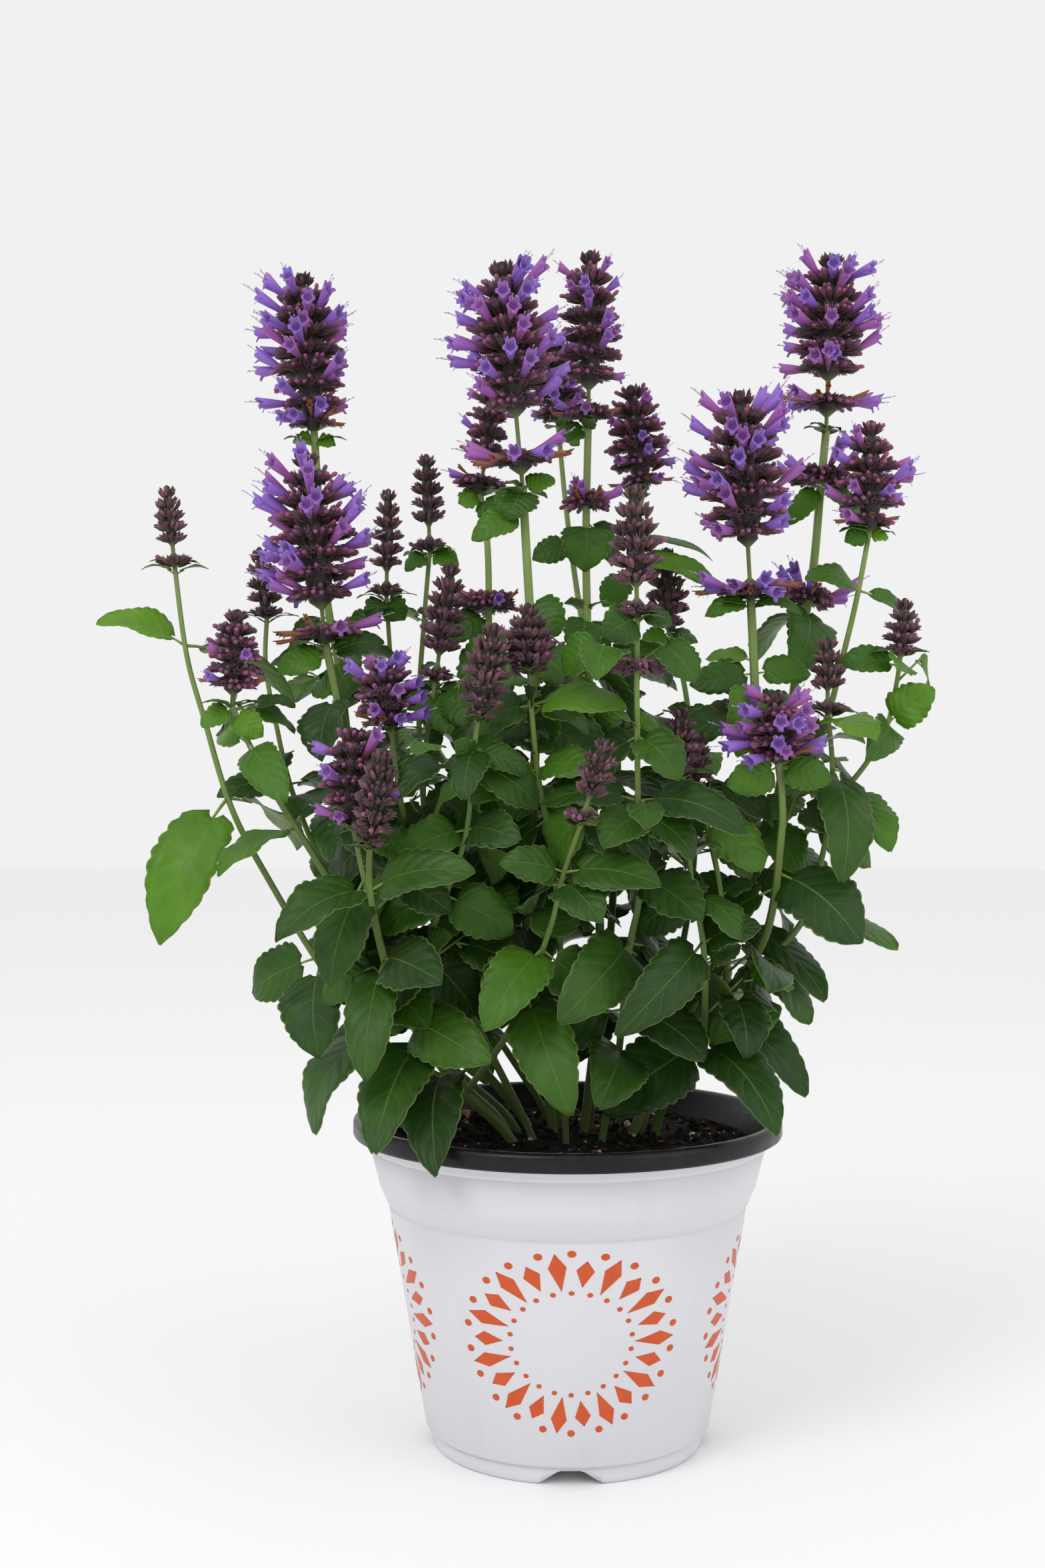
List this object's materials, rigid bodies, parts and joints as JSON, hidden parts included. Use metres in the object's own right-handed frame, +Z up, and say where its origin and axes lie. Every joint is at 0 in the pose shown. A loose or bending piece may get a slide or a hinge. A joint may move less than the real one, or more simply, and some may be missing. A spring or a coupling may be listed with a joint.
{
  "type": "potted giant hyssop",
  "caption": "Giant hyssop in flower, its leafy square stems and violet spikes standing in a round white nursery pot of peat.",
  "frame": {"origin": "centre of the pot's foot, on the ground", "axes": "+Z up along the pot's axis, -Y towards the front of the plant"},
  "size_m": [0.391, 0.202, 0.5776],
  "materials": {
    "pot": "white outside, black rim and inside, semi-gloss",
    "soil": "loose dark peat",
    "dead_leaf": "dry and matt",
    "leaf_and_stem": "satin leaf",
    "bloom": "matt petal",
    "bud": "matt calyx"
  },
  "bodies": {
    "root": {"pot": "pot", "soil": "soil", "fallen_leaf": "dead_leaf", "stem_left_low": "leaf_and_stem", "stem_left_mixed": "leaf_and_stem", "stem_left_bloom_low": "leaf_and_stem", "stem_left_bloom_high": "leaf_and_stem", "stem_back_left_bud": "leaf_and_stem", "stem_inner_left_bud": "leaf_and_stem", "stem_mid_bloom_high": "leaf_and_stem", "stem_mid_back": "leaf_and_stem", "stem_mid_front_bud": "leaf_and_stem", "stem_front_bud": "leaf_and_stem", "stem_mid_right_back": "leaf_and_stem", "stem_mid_tall": "leaf_and_stem", "stem_dark_bud": "leaf_and_stem", "stem_right_bloom": "leaf_and_stem", "stem_right_front_small": "leaf_and_stem", "stem_right_tall": "leaf_and_stem", "head_left_low": "bud", "head_far_left": "bud", "head_mid_left_bud": "bud", "head_left_low_bloom": "bloom", "head_front_small": "bud", "head_left_mixed": "bloom", "head_left_bud": "bud", "head_left_bloom_low": "bloom", "head_left_back_bud": "bud", "head_left_bloom_high": "bloom", "head_back_left_bud": "bud", "head_inner_left_bud": "bud", "head_inner_left_bloom": "bloom", "head_mid_bloom_high": "bloom", "head_mid_back": "bloom", "head_mid_front_bud": "bud", "head_front_bud": "bud", "head_mid_right_back": "bloom", "head_mid_tall": "bloom", "head_mid_tall_back": "bloom", "head_dark_bud": "bud", "head_right_bloom": "bloom", "head_right_small_bud": "bud", "head_far_right": "bud", "head_right_front_small": "bud", "head_right_front_bloom": "bloom", "head_right_inner_bud": "bud", "head_right_inner_small": "bud", "head_right_tall": "bloom", "head_right_tall_low": "bloom"}
  },
  "joints": []
}
